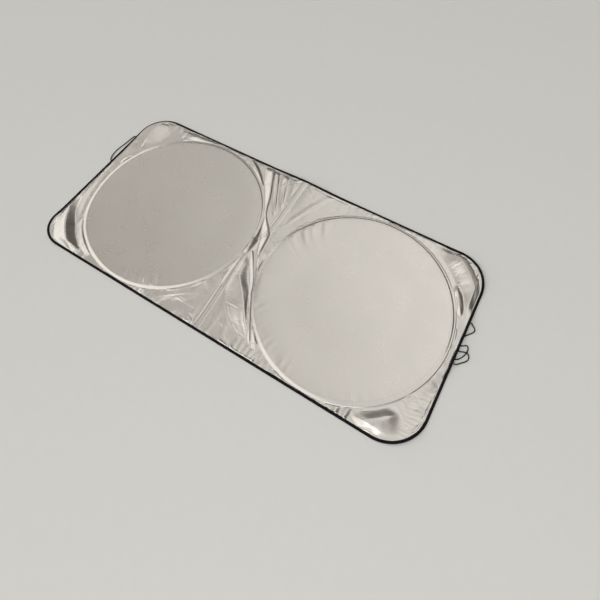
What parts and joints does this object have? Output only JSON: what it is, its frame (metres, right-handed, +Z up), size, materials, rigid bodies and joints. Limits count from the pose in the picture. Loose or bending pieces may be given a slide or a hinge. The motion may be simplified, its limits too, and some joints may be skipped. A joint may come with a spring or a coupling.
{
  "type": "windscreen sunshade",
  "caption": "Twist-folding windscreen sunshade of silver cloth with two wire hoops, a centre seam, a black bound border and a stowage elastic at each end, lying open.",
  "frame": {"origin": "middle of the shade's outline, on the surface that it lies on", "axes": "+X along the long side, +Y along the short side away from the near long edge, +Z up through the cloth"},
  "size_m": [1.5742, 0.7076, 0.0284],
  "materials": {
    "silver_cloth": "silver-coated satin cloth, creased",
    "black_binding": "woven tape, matt",
    "spring_steel": "drawn wire",
    "wire_sleeve": "crimped tube",
    "casing_tape": "woven tape, matt",
    "black_elastic": "braided round elastic"
  },
  "bodies": {
    "root": {"silver_panel_left": "silver_cloth", "silver_panel_right": "silver_cloth", "edge_binding": "black_binding", "border_wire": "spring_steel", "border_wire_sleeve": "wire_sleeve", "hoop_wire_left": "spring_steel", "hoop_wire_sleeve_left": "wire_sleeve", "hoop_casing_left": "casing_tape", "hoop_wire_right": "spring_steel", "hoop_wire_sleeve_right": "wire_sleeve", "hoop_casing_right": "casing_tape", "stowage_elastic_left": "black_elastic", "stowage_elastic_right": "black_elastic"}
  },
  "joints": []
}
